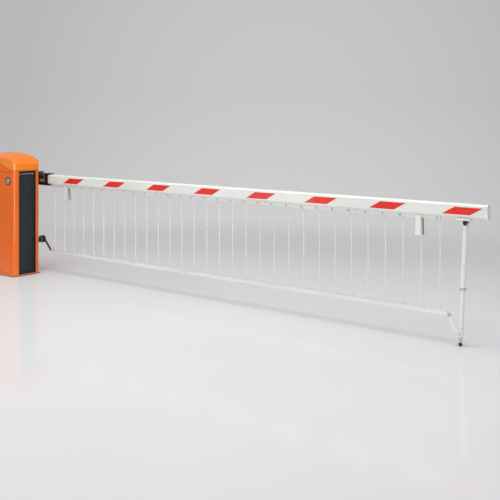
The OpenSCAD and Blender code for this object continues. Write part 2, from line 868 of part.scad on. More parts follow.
// eye, upper tube and the clamp collar at its lower end
module post_upper_tube() {
    post_frame() {
        color(zinc)
            difference() {
                union() {
                    rotate([90, 0, 0])
                        cylinder(d = 24, h = 20, center = true);
                    translate([0, 0, -26])
                        cylinder(d = 19, h = 24);
                }
                rotate([90, 0, 0])
                    cylinder(d = 12 + 2 * run_gap, h = 22, center = true);
            }
        color(white)
            difference() {
                translate([0, 0, -400])
                    cylinder(d = post_d, h = 382);
                translate([0, 0, -401])
                    cylinder(d = lower_d + 2 * run_gap, h = 376);
            }
        color(black)
            difference() {
                translate([0, 0, -414])
                    cylinder(d = post_d + 5, h = 14);
                translate([0, 0, -415])
                    cylinder(d = lower_d + 2 * run_gap, h = 16);
            }
    }
}

// lower tube, held in the upper one by the collar
module post_lower_tube() {
    color(white)
        post_frame()
            difference() {
                translate([0, 0, -706])
                    cylinder(d = lower_d, h = 400);
                translate([0, 0, -707])
                    cylinder(d = 16, h = 402);
            }
}

// threaded rod and nut at the foot of the lower tube
module foot_rod() {
    color(zinc)
        post_frame() {
            translate([0, 0, -foot_at + foot_r - 2])
                cylinder(d = 15.8, h = 90);
            translate([0, 0, -716])
                cylinder(d = 24 / cos(30) - 3, h = 10, $fn = 6);
        }
}

// round rubber foot that rests on the ground
module foot_pad() {
    color(black)
        post_frame()
            translate([0, 0, -foot_at])
                difference() {
                    sphere(r = foot_r);
                    translate([-foot_r, -foot_r, foot_r - 2])
                        cube(2 * foot_r);
                }
}

base_frame();
housing_shell();
hood();
lane_panels();
door();
lock_rosette();
lock_core();
shaft_bearings();
gearmotor();
control_unit();
pivot_bracket();
motor_crank();
connecting_rod();
drive_shaft();
boom_bracket();
bracket_bolts();
boom_profile();
boom_end_cap();
boom_stripes();
hanger_strip();
rail_catches();
post_mount();
skirt_rail();
rail_pivot_arm();
rail_link();
link_sleeve();
post_upper_tube();
post_lower_tube();
foot_rod();
foot_pad();
for (i = [0:rod_count - 1])
    skirt_rod(i);
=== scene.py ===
import json
from math import acos, cos, pi, radians, sin, sqrt, tan

import bmesh
import bpy
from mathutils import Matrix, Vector


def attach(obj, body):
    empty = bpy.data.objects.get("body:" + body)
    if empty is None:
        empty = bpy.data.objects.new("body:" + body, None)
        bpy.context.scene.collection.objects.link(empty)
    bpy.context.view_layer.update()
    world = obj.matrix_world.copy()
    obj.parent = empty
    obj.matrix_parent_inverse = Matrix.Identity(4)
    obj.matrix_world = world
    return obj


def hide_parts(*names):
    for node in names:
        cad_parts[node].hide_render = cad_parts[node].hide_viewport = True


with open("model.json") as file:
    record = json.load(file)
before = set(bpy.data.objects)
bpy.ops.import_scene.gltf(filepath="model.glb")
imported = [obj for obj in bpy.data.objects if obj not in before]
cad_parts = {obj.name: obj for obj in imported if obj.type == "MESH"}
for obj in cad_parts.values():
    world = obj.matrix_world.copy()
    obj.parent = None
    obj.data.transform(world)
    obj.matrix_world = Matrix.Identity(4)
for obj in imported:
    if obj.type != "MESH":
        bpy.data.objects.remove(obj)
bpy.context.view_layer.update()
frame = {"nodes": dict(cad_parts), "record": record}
nodes = frame["nodes"]
scene = bpy.context.scene
scene.view_settings.view_transform = "Standard"
MM = 0.001

# ---------------------------------------------------------------- materials


class Nodes:
    """A material's node tree, with short calls for the nodes used here."""

    def __init__(self, name):
        self.material = bpy.data.materials.new(name)
        self.material.use_nodes = True
        self.tree = self.material.node_tree
        self.shader = self.tree.nodes["Principled BSDF"]
        self.place = self.tree.nodes.new("ShaderNodeTexCoord").outputs["Object"]

    def link(self, a, b):
        self.tree.links.new(a, b)

    def stretched(self, scale):
        node = self.tree.nodes.new("ShaderNodeMapping")
        node.inputs["Scale"].default_value = scale
        self.link(self.place, node.inputs["Vector"])
        return node.outputs["Vector"]

    def noise(self, scale, detail=3.0, rough=0.55, vector=None):
        node = self.tree.nodes.new("ShaderNodeTexNoise")
        node.inputs["Scale"].default_value = scale
        node.inputs["Detail"].default_value = detail
        node.inputs["Roughness"].default_value = rough
        self.link(vector or self.place, node.inputs["Vector"])
        return node.outputs["Fac"]

    def cells(self, scale, feature="F1", spread=1.0):
        node = self.tree.nodes.new("ShaderNodeTexVoronoi")
        node.feature = feature
        node.inputs["Scale"].default_value = scale
        node.inputs["Randomness"].default_value = spread
        self.link(self.place, node.inputs["Vector"])
        return node

    def ramp(self, value, stops):
        node = self.tree.nodes.new("ShaderNodeValToRGB")
        ramp = node.color_ramp
        while len(ramp.elements) < len(stops):
            ramp.elements.new(0.5)
        for element, (at, colour) in zip(ramp.elements, stops):
            element.position = at
            element.color = (*colour, 1)
        self.link(value, node.inputs["Fac"])
        return node.outputs["Color"]

    def spread(self, value, low, high, a=0.3, b=0.7):
        node = self.tree.nodes.new("ShaderNodeMapRange")
        for key, number in zip(("From Min", "From Max", "To Min", "To Max"), (a, b, low, high)):
            node.inputs[key].default_value = number
        self.link(value, node.inputs["Value"])
        return node.outputs["Result"]

    def height(self):
        node = self.tree.nodes.new("ShaderNodeSeparateXYZ")
        self.link(self.place, node.inputs["Vector"])
        return node.outputs["Z"]

    def mix(self, factor, a, b):
        node = self.tree.nodes.new("ShaderNodeMix")
        node.data_type = "RGBA"
        self.link(factor, node.inputs["Factor"])
        for colour, key in ((a, 6), (b, 7)):
            if isinstance(colour, tuple):
                node.inputs[key].default_value = (*colour, 1)
            else:
                self.link(colour, node.inputs[key])
        return node.outputs[2]

    def multiply(self, a, b):
        node = self.tree.nodes.new("ShaderNodeMath")
        node.operation = "MULTIPLY"
        self.link(a, node.inputs[0])
        self.link(b, node.inputs[1])
        return node.outputs[0]

    def bump(self, *layers):
        """Bump layers, each a height output with its depth in metres."""
        normal = None
        for value, depth in layers:
            node = self.tree.nodes.new("ShaderNodeBump")
            node.inputs["Distance"].default_value = depth
            node.inputs["Strength"].default_value = 1.0
            self.link(value, node.inputs["Height"])
            if normal is not None:
                self.link(normal, node.inputs["Normal"])
            normal = node.outputs["Normal"]
        self.link(normal, self.shader.inputs["Normal"])

    def set(self, **values):
        for key, value in values.items():
            self.shader.inputs[key.replace("_", " ")].default_value = value


def shade(colour, factor):
    return tuple(min(1.0, c * factor) for c in colour)


def powder_coat(name, colour, rough=0.36, peel=260.0, depth=0.00006, coat=0.0, dust=0.25,
        gloss=0.4):
    """Powder coat: cloudy tone, fine orange peel and a breath of dust near the ground."""
    n = Nodes(name)
    tone = n.ramp(n.noise(2.2, 4.0), [(0.3, shade(colour, 0.93)), (0.7, shade(colour, 1.05))])
    speck = n.spread(n.noise(900.0, 2.0), 0.0, 0.10, 0.45, 0.8)
    tone = n.mix(speck, tone, shade(colour, 0.72))
    low = n.spread(n.height(), dust, 0.0, 0.0, 0.16)
    dusty = n.multiply(low, n.spread(n.noise(14.0, 6.0), 0.2, 1.0))
    n.link(n.mix(dusty, tone, (0.50, 0.46, 0.41)), n.shader.inputs["Base Color"])
    n.link(n.spread(n.noise(35.0, 5.0), rough - 0.05, rough + 0.08), n.shader.inputs["Roughness"])
    n.bump((n.noise(peel, 2.0), depth), (n.noise(1100.0, 1.0), depth * 0.35))
    n.set(Specular_IOR_Level=gloss)
    if coat:
        n.set(Coat_Weight=coat, Coat_Roughness=0.13)
    return n.material


def plated(name, colour, rough=0.34, grain=(40.0, 40.0, 900.0), depth=0.00003):
    """Plated or bare metal: fine drawn grain, cloudy roughness and faint darker patches."""
    n = Nodes(name)
    n.set(Metallic=1.0)
    patches = n.noise(26.0, 6.0, 0.65)
    n.link(n.ramp(patches, [(0.32, shade(colour, 0.74)), (0.62, colour), (0.85, shade(colour, 1.12))]),
        n.shader.inputs["Base Color"])
    n.link(n.spread(n.noise(60.0, 5.0), rough - 0.08, rough + 0.14), n.shader.inputs["Roughness"])
    n.bump((n.noise(1.0, 3.0, vector=n.stretched(grain)), depth))
    return n.material


def moulded(name, colour, rough=0.45, grain=700.0, depth=0.00005, sheen=0.0):
    """Moulded plastic or rubber: fine spark-eroded grain and slight tone changes."""
    n = Nodes(name)
    n.link(n.ramp(n.noise(9.0, 4.0), [(0.3, shade(colour, 0.86)), (0.7, shade(colour, 1.12))]),
        n.shader.inputs["Base Color"])
    n.link(n.spread(n.noise(80.0, 4.0), rough - 0.06, rough + 0.1), n.shader.inputs["Roughness"])
    n.bump((n.noise(grain, 3.0), depth))
    if sheen:
        n.set(Sheen_Weight=sheen, Sheen_Roughness=0.5)
    return n.material


def reflective_film(name, colour):
    """Retroreflective film: small sealed cells under a clear glossy face."""
    n = Nodes(name)
    edge = n.spread(n.cells(420.0, "DISTANCE_TO_EDGE", 0.35).outputs["Distance"], 1.0, 0.0, 0.0, 0.12)
    tone = n.ramp(n.noise(6.0, 3.0), [(0.3, shade(colour, 0.92)), (0.7, shade(colour, 1.06))])
    n.link(n.mix(edge, tone, shade(colour, 0.80)), n.shader.inputs["Base Color"])
    n.link(n.spread(n.noise(50.0, 4.0), 0.30, 0.42), n.shader.inputs["Roughness"])
    n.bump((n.cells(420.0, "F1", 0.35).outputs["Distance"], 0.00003))
    n.set(Coat_Weight=0.2, Coat_Roughness=0.08)
    return n.material


ORANGE = (0.88, 0.150, 0.003)
# painted highlight: the hood gets a lighter, yellower copy of the housing's orange, which stands in for the
# light falling on its top
HOOD_ORANGE_PAINTED_LIGHTER = (1.0, 0.235, 0.004)
WHITE = (0.80, 0.80, 0.765)
MATERIALS = {
    "housing_orange": powder_coat("orange_powder_coat", ORANGE, 0.36, coat=0.6, gloss=0.10, dust=0.12),
    "hood_orange": powder_coat("hood_powder_coat_painted_lighter", HOOD_ORANGE_PAINTED_LIGHTER, 0.30, coat=1.0, dust=0.0, gloss=0.2),
    "anthracite_panel": powder_coat("anthracite_powder_coat", (0.024, 0.030, 0.034), 0.5,
        depth=0.00008, gloss=0.25, dust=0.0),
    "black_steel": powder_coat("black_coated_steel", (0.020, 0.020, 0.022), 0.42, depth=0.00008),
    "grey_steel": plated("bare_steel", (0.40, 0.41, 0.43), 0.40),
    "zinc_steel": plated("zinc_plate", (0.62, 0.63, 0.64), 0.32, grain=(90.0, 90.0, 90.0)),
    "lock_metal": plated("nickel_plate", (0.58, 0.65, 0.74), 0.24, grain=(30.0, 30.0, 1200.0)),
    "black_plastic": moulded("black_moulded_plastic", (0.022, 0.022, 0.024), 0.46),
    "white_aluminium": powder_coat("white_powder_coat", WHITE, 0.38, coat=0.15, dust=0.12),
    "white_plastic": moulded("white_moulded_plastic", (0.82, 0.82, 0.80), 0.40, 500.0, 0.00003),
    "red_film": reflective_film("red_reflective_film", (0.80, 0.020, 0.006)),
    "black_rubber": moulded("black_rubber", (0.014, 0.014, 0.015), 0.68, 420.0, 0.00010, sheen=0.1),
}
PALE_FILM = reflective_film("pale_reflective_film", (0.86, 0.80, 0.76))
LENS = moulded("light_bar_lens", (0.30, 0.36, 0.36), 0.20, 300.0, 0.00002)

for row in frame["record"]["subparts"]:
    node = nodes[row["node"]]
    node.data.materials.clear()
    node.data.materials.append(MATERIALS[row["material_slot"]])


def paint(name, slot, inside):
    """Gives a slot's finish to those faces of a CAD node whose centre (mm) is inside a region."""
    obj = nodes[name]
    obj.data.materials.append(MATERIALS[slot])
    for face in obj.data.polygons:
        if inside(obj.matrix_world @ face.center / MM):
            face.material_index = len(obj.data.materials) - 1


paint("post_mount", "black_steel", lambda p: p.z < 775.5)
paint("post_upper_tube", "zinc_steel", lambda p: p.z < 360.5)
paint("post_upper_tube", "zinc_steel", lambda p: p.z > 742.5)
paint("rail_link", "zinc_steel", lambda p: p.y < 236 - 23.6)
paint("pivot_bracket", "zinc_steel", lambda p: p.y > 236 - 25.9)

# ---------------------------------------------------------------- softer edges on the CAD nodes


def clean_normals_group():
    """Welds the imported mesh's split edges, so that the bevels have whole edges to work on."""
    group = bpy.data.node_groups.new("weld_split_edges", "GeometryNodeTree")
    group.interface.new_socket("Geometry", in_out="INPUT", socket_type="NodeSocketGeometry")
    group.interface.new_socket("Geometry", in_out="OUTPUT", socket_type="NodeSocketGeometry")
    start = group.nodes.new("NodeGroupInput")
    drop = group.nodes.new("GeometryNodeRemoveAttribute")
    drop.inputs["Name"].default_value = "custom_normal"
    weld = group.nodes.new("GeometryNodeMergeByDistance")
    weld.inputs["Distance"].default_value = 0.00001
    end = group.nodes.new("NodeGroupOutput")
    group.links.new(start.outputs[0], drop.inputs["Geometry"])
    group.links.new(drop.outputs[0], weld.inputs["Geometry"])
    group.links.new(weld.outputs[0], end.inputs[0])
    return group


def smooth_group(degrees):
    """Smooth shading with sharp edges only where two faces meet at more than the given angle."""
    group = bpy.data.node_groups.new("smooth_by_angle", "GeometryNodeTree")
    group.interface.new_socket("Geometry", in_out="INPUT", socket_type="NodeSocketGeometry")
    group.interface.new_socket("Geometry", in_out="OUTPUT", socket_type="NodeSocketGeometry")
    start = group.nodes.new("NodeGroupInput")
    faces = group.nodes.new("GeometryNodeSetShadeSmooth")
    faces.domain = "FACE"
    edges = group.nodes.new("GeometryNodeSetShadeSmooth")
    edges.domain = "EDGE"
    angle = group.nodes.new("GeometryNodeInputMeshEdgeAngle")
    compare = group.nodes.new("FunctionNodeCompare")
    compare.data_type = "FLOAT"
    compare.operation = "LESS_EQUAL"
    compare.inputs[1].default_value = radians(degrees)
    end = group.nodes.new("NodeGroupOutput")
    group.links.new(start.outputs[0], faces.inputs["Geometry"])
    group.links.new(faces.outputs[0], edges.inputs["Geometry"])
    group.links.new(angle.outputs["Unsigned Angle"], compare.inputs[0])
    group.links.new(compare.outputs[0], edges.inputs["Shade Smooth"])
    group.links.new(edges.outputs[0], end.inputs[0])
    return group


WELD = clean_normals_group()
SMOOTH = smooth_group(32)


def soften(name, width, segments=2):
    """Rounds a CAD node's hard edges by width (mm) and smooths its curved faces."""
    obj = nodes[name]
    obj.modifiers.new("weld", "NODES").node_group = WELD
    flat = obj.modifiers.new("flat", "DECIMATE")
    flat.decimate_type = "DISSOLVE"
    flat.angle_limit = radians(0.4)
    if width:
        bevel = obj.modifiers.new("edges", "BEVEL")
        bevel.width = width * MM
        bevel.segments = segments
        bevel.limit_method = "ANGLE"
        bevel.angle_limit = radians(32)
        bevel.use_clamp_overlap = True
    obj.modifiers.new("smooth", "NODES").node_group = SMOOTH
    weighted = obj.modifiers.new("weighted", "WEIGHTED_NORMAL")
    weighted.keep_sharp = True


EDGE_MM = {
    "base_frame": 1.0, "housing_shell": 0.8, "lane_panels": 0.8, "door": 1.0, "lock_rosette": 0.7,
    "lock_core": 0.6, "shaft_bearings": 1.0, "gearmotor": 1.6, "control_unit": 2.0, "pivot_bracket": 1.0,
    "motor_crank": 1.2, "connecting_rod": 1.0, "drive_shaft": 1.2, "boom_bracket": 1.6,
    "bracket_bolts": 0.8, "boom_profile": 1.4, "boom_end_cap": 2.2, "boom_stripes": 0.2,
    "hanger_strip": 0.8, "rail_catches": 0.7, "post_mount": 1.2, "skirt_rail": 0.9,
    "rail_pivot_arm": 1.5, "rail_link": 0.7, "link_sleeve": 1.2, "post_upper_tube": 0.9,
    "post_lower_tube": 0.8,
}
for node_name, edge_mm in EDGE_MM.items():
    soften(node_name, edge_mm, 3 if node_name in ("boom_profile", "boom_end_cap") else 2)

# ---------------------------------------------------------------- building pieces (millimetres)


def make(name, verts, faces, slot, body, angle=32, bevel=0.0, material=None, replaces=()):
    """A mesh piece from points in millimetres, riding on a body and taking a slot's finish."""
    mesh = bpy.data.meshes.new(name)
    mesh.from_pydata([Vector(v) * MM for v in verts], [], faces)
    work = bmesh.new()
    work.from_mesh(mesh)
    bmesh.ops.recalc_face_normals(work, faces=work.faces)
    work.to_mesh(mesh)
    work.free()
    mesh.materials.append(material or MATERIALS[slot])
    mesh.shade_smooth()
    mesh.set_sharp_from_angle(angle=radians(angle))
    obj = bpy.data.objects.new(name, mesh)
    scene.collection.objects.link(obj)
    if bevel:
        edges = obj.modifiers.new("edges", "BEVEL")
        edges.width = bevel * MM
        edges.segments = 2
        edges.limit_method = "ANGLE"
        edges.angle_limit = radians(40)
        edges.harden_normals = True
    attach(obj, body)
    if replaces:
        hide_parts(*replaces)
    return obj


def basis(direction):
    """Two directions square to the given one."""
    z = Vector(direction).normalized()
    helper = Vector((0, 0, 1)) if abs(z.z) < 0.9 else Vector((1, 0, 0))
    x = helper.cross(z).normalized()
    return x, z.cross(x), z


HEX = "hex"


def turned(rings, origin, direction, sides=36):
    """Verts and faces of a turned solid: rings of (radius, height) or (half width, height, HEX)."""
    x, y, z = basis(direction)
    origin = Vector(origin)
    verts, faces, rows = [], [], []
    for ring in rings:
        radius, h = ring[0], ring[1]
        if radius == 0:
            rows.append([len(verts)])
            verts.append(origin + z * h)
            continue
        row = []
        for k in range(sides):
            a = 2 * pi * k / sides
            r = radius / cos((a % (pi / 3)) - pi / 6) if len(ring) > 2 else radius
            row.append(len(verts))
            verts.append(origin + z * h + x * (r * cos(a)) + y * (r * sin(a)))
        rows.append(row)
    for a, b in zip(rows, rows[1:]):
        for k in range(sides):
            m = (k + 1) % sides
            if len(a) == 1 and len(b) > 1:
                faces.append((a[0], b[k], b[m]))
            elif len(b) == 1 and len(a) > 1:
                faces.append((a[k], b[0], a[m]))
            elif len(a) > 1:
                faces.append((a[k], b[k], b[m], a[m]))
    return verts, faces


def quads(rows, n, base=0):
    """Faces between rows of n points each, every row a closed ring."""
    faces = []
    for r in range(rows - 1):
        low, high = base + r * n, base + (r + 1) * n
        faces += [(low + k, low + (k + 1) % n, high + (k + 1) % n, high + k) for k in range(n)]
    return faces


def joined(parts):
    """One vertex and face list out of several."""
    verts, faces = [], []
    for v, f in parts:
        base = len(verts)
        verts.extend(v)
        faces.extend(tuple(i + base for i in face) for face in f)
    return verts, faces


def group(name, parts, slot, body, **options):
    """Several like pieces as one mesh."""
    return make(name, *joined(parts), slot, body, **options)


def hex_head(origin, direction, af, height):
    """Chamfered hexagon head on a washer, its foot at the origin."""
    half = af / 2
    t = af * 0.12
    rings = [(0, 0), (half * 1.28, 0), (half * 1.34, t * 0.3), (half * 1.34, t * 0.75),
        (half * 1.28, t)]
    rings += [(half * 0.97, t, HEX), (half, t + 0.3, HEX), (half, height * 0.80 + t, HEX),
        (half * 0.985, height * 0.93 + t, HEX), (half * 0.95, height + t), (half * 0.5, height + t),
        (0, height + t)]
    return turned(rings, origin, direction)


def socket_head(origin, direction, d, height):
    """Button head screw with a hexagon socket."""
    r = d / 2
    return turned([(0, 0), (r, 0), (r, height * 0.25), (r * 0.93, height * 0.62), (r * 0.75, height * 0.9),
        (r * 0.55, height), (r * 0.48, height, HEX), (r * 0.46, height * 0.35, HEX), (0, height * 0.3)],
        origin, direction, 30)


def washer_ring(origin, direction, inner, outer, t):
    """Flat ring with rounded rims."""
    e = min(t, outer - inner) * 0.25
    rings = [(inner, e), (inner + e, 0), (outer - e, 0), (outer, e), (outer, t - e), (outer - e, t),
        (inner + e, t), (inner, t - e)]
    verts, faces = turned(rings, origin, direction)
    n = 36
    last = len(verts) - n
    faces += [(last + k, k, (k + 1) % n, last + (k + 1) % n) for k in range(n)]
    return verts, faces


def rounded_block(low, high, r, steps=3):
    """Block with all edges rounded."""
    low, high = Vector(low), Vector(high)
    work = bmesh.new()
    bmesh.ops.create_cube(work, size=1.0)
    for v in work.verts:
        v.co = Vector([(low[i] + high[i]) / 2 + v.co[i] * (high[i] - low[i]) for i in range(3)])
    bmesh.ops.bevel(work, geom=work.edges[:], offset=r, segments=steps, profile=0.5, affect="EDGES")
    work.verts.index_update()
    verts = [v.co.copy() for v in work.verts]
    faces = [tuple(v.index for v in f.verts) for f in work.faces]
    work.free()
    return verts, faces


def filleted(points, radius, steps=6):
    """The polyline with its inner corners rounded."""
    points = [Vector(p) for p in points]
    path = [points[0]]
    for a, b, c in zip(points, points[1:], points[2:]):
        u, w = (a - b).normalized(), (c - b).normalized()
        angle = acos(max(-1, min(1, u.dot(w))))
        reach = min(radius / tan(angle / 2), (a - b).length * 0.49, (c - b).length * 0.49)
        r = reach * tan(angle / 2)
        middle = b + (u + w).normalized() * (r / sin(angle / 2))
        start, end = b + u * reach - middle, b + w * reach - middle
        for k in range(steps + 1):
            t = k / steps
            path.append(middle + start.normalized().slerp(end.normalized(), t) * r)
    path.append(points[-1])
    return path


def tube(path, r, sides=12, dome=True):
    """Round bar along a path, with domed ends."""
    rings = []
    legs = [(b - a).normalized() for a, b in zip(path, path[1:])]
    bends = [(a + b).normalized() for a, b in zip(legs, legs[1:])]
    tangents = [legs[0], *bends, legs[-1]]
    side = basis(tangents[0])[0]
    for p, t in zip(path, tangents):
        side = (side - t * side.dot(t)).normalized()
        rings.append((p, t, side.copy(), r))
    if dome:
        p, t, s, _ = rings[0]
        rings = [(p - t * (r * 0.35 * h), t, s, r * f) for h, f in ((1.0, 0.45), (0.7, 0.8))] + rings
        p, t, s, _ = rings[-1]
        rings += [(p + t * (r * 0.35 * h), t, s, r * f) for h, f in ((0.7, 0.8), (1.0, 0.45))]
    verts = []
    for p, t, s, radius in rings:
        other = t.cross(s)
        for k in range(sides):
            a = 2 * pi * k / sides
            verts.append(p + s * (radius * cos(a)) + other * (radius * sin(a)))
    faces = quads(len(rings), sides)
    faces.append(tuple(range(sides)))
    faces.append(tuple((len(rings) - 1) * sides + k for k in range(sides)))
    return verts, faces


# ---------------------------------------------------------------- sizes shared with the CAD (mm)
HX, HY, CORNER = 210.0, 140.0, 40.0
SHEET = 3.0
LIP_Z, LIP_RISE, LIP_FLAT_X, HOOD_TOP = 930.0, 58.0, -52.0, 1085.0
FALL_NEAR, FALL_FAR, FALL_Y = 104.0, 32.0, 50.0
BOOM_Y, BOOM_Z, BOOM_T = 236.0, 835.0, 50.0
BOOM_FRONT, BOOM_BACK = BOOM_Y - BOOM_T / 2, BOOM_Y + BOOM_T / 2
BOOM_FACES = ((BOOM_FRONT, -1), (BOOM_BACK, 1))
BOOM_END = 4388.0
ROD_X, ROD_PITCH, ROD_COUNT = 277.0, 130.0, 30
PIVOT_Z, DROP, STEP_TOP, STEP_BOTTOM = 779.0, 580.0, 20.0, 16.0
RAIL_Z = PIVOT_Z - DROP
RAIL_START = 246.0
POST_X, POST_Z, LEAN = 4238.0, 760.0, radians(2.78)
DOWN = Vector((-sin(LEAN), 0, -cos(LEAN)))
POST_TOP = Vector((POST_X, BOOM_Y, POST_Z))
LINK_PIVOT = Vector((4205.07, BOOM_Y, 81.8))
LINK_BOLT = Vector((4139, BOOM_Y, 188))
SHAFT = Vector((80, 0, 868))
PIVOT = Vector((116, 0, 288))
LOCK = Vector((122, -HY, 838))
HINGE_X, HINGE_Y, HINGE_ZS = -166.5, -144.7, (125, 790)
CATCHES = (448, 3906)
UP, ACROSS, BACK = (0, 0, 1), (0, 1, 0), (0, -1, 0)

# ---------------------------------------------------------------- hood


def lip_height(x):
    t = max(0, min(1, (x - LIP_FLAT_X) / (HX - 4 - LIP_FLAT_X)))
    return LIP_Z + LIP_RISE * (0.5 + 0.5 * cos(pi * t))


def fall(t):
    return 0.86 * t * t + 0.14 * abs(t) ** 16


def dome_height(x, y):
    along = FALL_NEAR if x > 0 else FALL_FAR
    drop = (along * fall(x / HX)) ** 3 + (FALL_Y * fall(y / HY)) ** 3
    return HOOD_TOP - drop ** (1 / 3)


def outline(inset):
    """Points round the housing's outline, shrunk by inset."""
    corner_steps, sides = 14, (40, 24)
    corners = []
    for q, (sx, sy) in enumerate(((1, 1), (-1, 1), (-1, -1), (1, -1))):
        centre = Vector((sx * (HX - CORNER), sy * (HY - CORNER)))
        turn = [q * pi / 2 + pi / 2 * k / corner_steps for k in range(corner_steps + 1)]
        corners.append([centre + Vector((cos(a), sin(a))) * (CORNER - inset) for a in turn])
    points = []
    for q in range(4):
        points += corners[q]
        a, b = corners[q][-1], corners[(q + 1) % 4][0]
        n = sides[q % 2]
        points += [a.lerp(b, k / n) for k in range(1, n)]
    return points


def dome_ring(points, shrink, lower=0.0):
    """The outline's points drawn in towards the middle and lifted onto the dome."""
    return [(x, y, dome_height(x, y) - lower) for x, y in ((p.x * shrink, p.y * shrink) for p in points)]


def hood_cover():
    """The domed hood as a thin skin: rolled lower edge, upright band, soft crease and dome."""
    rim, inner = outline(0), outline(SHEET)
    n = len(rim)
    skin = SHEET + 0.4
    rows = []
    for inset, up in ((2.6, 1.4), (2.0, 0.3), (1.2, 0.0), (0.4, 0.5), (0.0, 1.6)):
        rows.append([(p.x, p.y, lip_height(p.x) + up) for p in outline(inset)])
    for t in (0.2, 0.45, 0.7, 0.86, 0.94):
        edges = [(p, lip_height(p.x), dome_height(p.x, p.y)) for p in rim]
        rows.append([(p.x, p.y, low + (high - low) * t) for p, low, high in edges])
    for shrink in (0.9985, 0.995, 0.989, 0.98, 0.966, 0.946, 0.92, 0.885, 0.84, 0.78, 0.71, 0.63, 0.54,
            0.45, 0.36, 0.27, 0.18, 0.09):
        rows.append(dome_ring(rim, shrink))
    top = len(rows) * n
    verts = [v for row in rows for v in row] + [(0, 0, HOOD_TOP)]
    faces = quads(len(rows), n)
    faces += [(top - n + k, top - n + (k + 1) % n, top) for k in range(n)]
    inside = [dome_ring(inner, shrink, skin) for shrink in (0.09, 0.36, 0.63, 0.84, 0.95, 1.0)]
    inside.append([(p.x, p.y, lip_height(p.x) + 3.2) for p in inner])
    base = len(verts)
    verts += [v for row in inside for v in row] + [(0, 0, HOOD_TOP - skin)]
    faces += quads(len(inside), n, base)
    faces += [(base + k, base + (k + 1) % n, len(verts) - 1) for k in range(n)]
    edge = base + (len(inside) - 1) * n
    faces += [(edge + k, edge + (k + 1) % n, (k + 1) % n, k) for k in range(n)]
    return make("hood_cover", verts, faces, "hood_orange", "housing", angle=60, replaces=("hood",))


hood_cover()

# ---------------------------------------------------------------- housing details


# rubber seal round the door opening, deep in the gap
door_x, door_low, door_high = 166.5, 32.5, 913.5
seal_y = -HY + 4.5
seal = filleted([(0, seal_y, door_low), (-door_x, seal_y, door_low), (-door_x, seal_y, door_high),
    (door_x, seal_y, door_high), (door_x, seal_y, door_low), (1, seal_y, door_low)], 4, 4)
make("door_seal", *tube(seal, 1.4, 8), "housing_orange", "housing")

# painted shade: a black rubber tube fills the gap between the hood and the housing, and stands in for the
# gap's shade as a dark line
lip = [Vector((p.x, p.y, lip_height(p.x) - 1.5)) for p in outline(2.2)]
make("hood_gap_shade_line", *tube(lip + [lip[0]], 1.3, 8, dome=False), "black_rubber", "housing")

# dark kick strip round the foot of the housing
kick = [Vector((p.x, p.y, 5.0)) for p in outline(3.0)]
make("foot_seal", *tube(kick + [kick[0]], 2.6, 8, dome=False), "black_rubber", "housing")

# screws of the lane panels' top bars, and their lens strips
for side, tag in ((1, "right"), (-1, "left")):
    face = side * (HX - 24 + 4)
    lens_x = sorted((face, face + side * 5))
    lens = rounded_block((lens_x[0], -84, 893.5), (lens_x[1], 84, 900.5), 1.6)
    make("light_bar_lens_" + tag, *lens, "anthracite_panel", "housing", material=LENS)
    inner_face = side * (HX - 24)
    frame_path = filleted([(inner_face, 0, 22), (inner_face, 84, 22), (inner_face, 84, 884),
        (inner_face, -84, 884), (inner_face, -84, 22), (inner_face, -1, 22)], 6, 5)
    make("panel_bead_" + tag, *tube(frame_path, 1.5, 8), "anthracite_panel", "housing")
    heads = [socket_head((face, y, 890), (side, 0, 0), 8, 3) for y in (-70, 70)]
    group("panel_screws_" + tag, heads, "zinc_steel", "housing")
    heads = [socket_head((inner_face, y, z), (side, 0, 0), 8, 2.4)
        for y in (-74, 74) for z in (34, 320, 600)]
    group("panel_side_screws_" + tag, heads, "black_steel", "housing")

# lock: fine rings on the disc, small screws of the rosette
disc = [turned([(r - 0.7, -3.0), (r - 0.4, -3.5), (r + 0.4, -3.5), (r + 0.7, -3.0)], LOCK, ACROSS, 48)
    for r in (13, 22)]
flap = turned([(0, -3.0), (8.5, -3.0), (9.0, -3.6), (9.0, -4.2), (8.4, -4.8), (0, -4.8)], LOCK, ACROSS, 48)
key = rounded_block(LOCK + Vector((-1.3, -5.6, -6.5)), LOCK + Vector((1.3, -4.6, 6.5)), 0.45)
turns = (pi / 4, 3 * pi / 4, 5 * pi / 4, 7 * pi / 4)
heads = [socket_head(LOCK + Vector((31 * cos(a), -2.0, 31 * sin(a))), BACK, 4.6, 1.8) for a in turns]
group("lock_disc_rings", disc, "lock_metal", "lock")
make("lock_key_cover", *flap, "lock_metal", "lock")
make("lock_key_slot", *key, "black_plastic", "lock")
group("lock_rosette_screws", heads, "zinc_steel", "housing")

# door: stiffening beads pressed into the inner face, and two cap screws
ribs = [tube(filleted([(-110, -134.5, z), (110, -134.5, z), (112, -134.5, z + 0.1)], 1, 2), 3.0, 10)
    for z in (180, 330, 480, 630, 760)]
group("door_inner_ribs", ribs, "housing_orange", "door")
heads = [socket_head((145, -HY - 1.2, z), BACK, 8, 2.2) for z in (283, 310)]
group("door_cap_screws", heads, "black_steel", "door")

# hinges: pin caps
caps = []
for z in HINGE_ZS:
    for end, d in ((z - 14, -1), (z + 54, 1)):
        cap = [(4.2, 0), (4.2, 0.8), (3.2, 1.7), (1.6, 2.1), (0, 2.2)]
        verts, faces = turned(cap, (HINGE_X, HINGE_Y, end), (0, 0, d), 24)
        caps.append((verts, faces + [tuple(range(24))]))
group("hinge_pin_caps", caps, "zinc_steel", "housing")

# anchors of the base plate, inside
anchors = []
for x in (-150, 150):
    for y in (-95, 95):
        anchors.append(hex_head((x, y, 8), UP, 19, 10))
        anchors.append(tube([Vector((x, y, 17)), Vector((x, y, 36))], 6, 20))
group("anchor_bolts", anchors, "zinc_steel", "housing")

